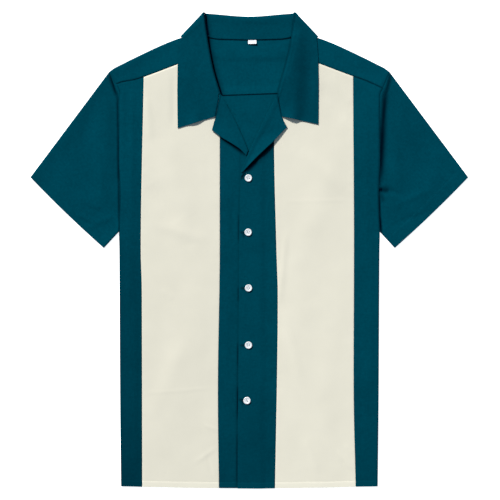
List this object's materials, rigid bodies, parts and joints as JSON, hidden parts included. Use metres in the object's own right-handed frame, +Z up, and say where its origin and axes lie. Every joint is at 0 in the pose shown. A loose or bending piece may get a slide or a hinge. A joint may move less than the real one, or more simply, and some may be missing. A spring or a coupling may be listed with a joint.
{
  "type": "short-sleeved camp-collar shirt",
  "caption": "Short-sleeved shirt with an open camp collar, back yoke and two contrast front panels, buttoned and laid flat on its back.",
  "frame": {"origin": "on the surface the shirt lies on, under the middle of its bounding box", "axes": "+X across the shirt towards its front that laps on top, +Y from the hem to the collar, +Z up out of the surface, away from the back panel"},
  "size_m": [0.744, 0.8086, 0.0116],
  "materials": {
    "teal_cotton": "matt plain-weave cotton",
    "cream_cotton": "matt plain-weave cotton",
    "white_label": "woven satin tape",
    "button_resin": "polished, slightly pearly"
  },
  "bodies": {
    "root": {"back": "teal_cotton", "yoke": "teal_cotton", "side_front_left": "teal_cotton", "side_front_right": "teal_cotton", "cream_panel_left": "cream_cotton", "cream_panel_right": "cream_cotton", "centre_band_left": "teal_cotton", "centre_band_right": "teal_cotton", "lapel_left": "teal_cotton", "lapel_right": "teal_cotton", "collar": "teal_cotton", "sleeve_left": "teal_cotton", "sleeve_right": "teal_cotton", "size_label": "white_label", "button_1": "button_resin", "button_2": "button_resin", "button_3": "button_resin", "button_4": "button_resin", "button_5": "button_resin"}
  },
  "joints": []
}
